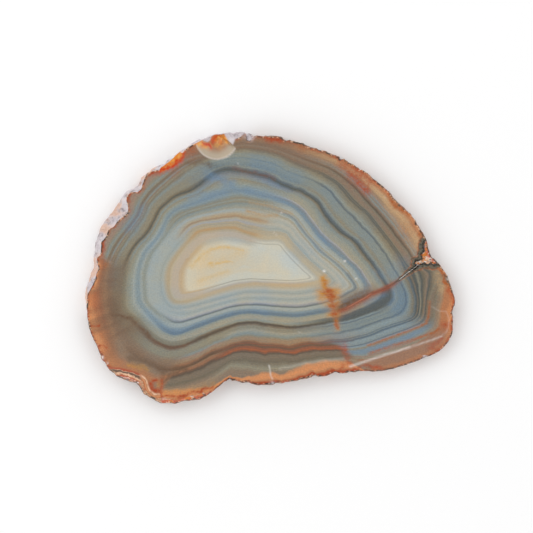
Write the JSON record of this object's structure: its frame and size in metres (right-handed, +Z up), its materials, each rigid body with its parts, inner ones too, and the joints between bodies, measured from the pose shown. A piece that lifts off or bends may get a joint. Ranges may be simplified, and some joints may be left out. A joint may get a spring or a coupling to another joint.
{
  "type": "agate slice",
  "caption": "Flat slice of banded agate with one polished face, a natural rough rim, a shell-shaped edge chip and a crystal-lined notch; lies flat as a display piece.",
  "frame": {"origin": "middle of the length and width, on the underside that the slice rests on", "axes": "+X along the length towards the notched end, +Y across the face, +Z up through the thickness to the polished face"},
  "size_m": [0.1116, 0.0822, 0.005],
  "materials": {
    "agate": "polished"
  },
  "bodies": {
    "root": {"agate_slice": "agate"}
  },
  "joints": []
}
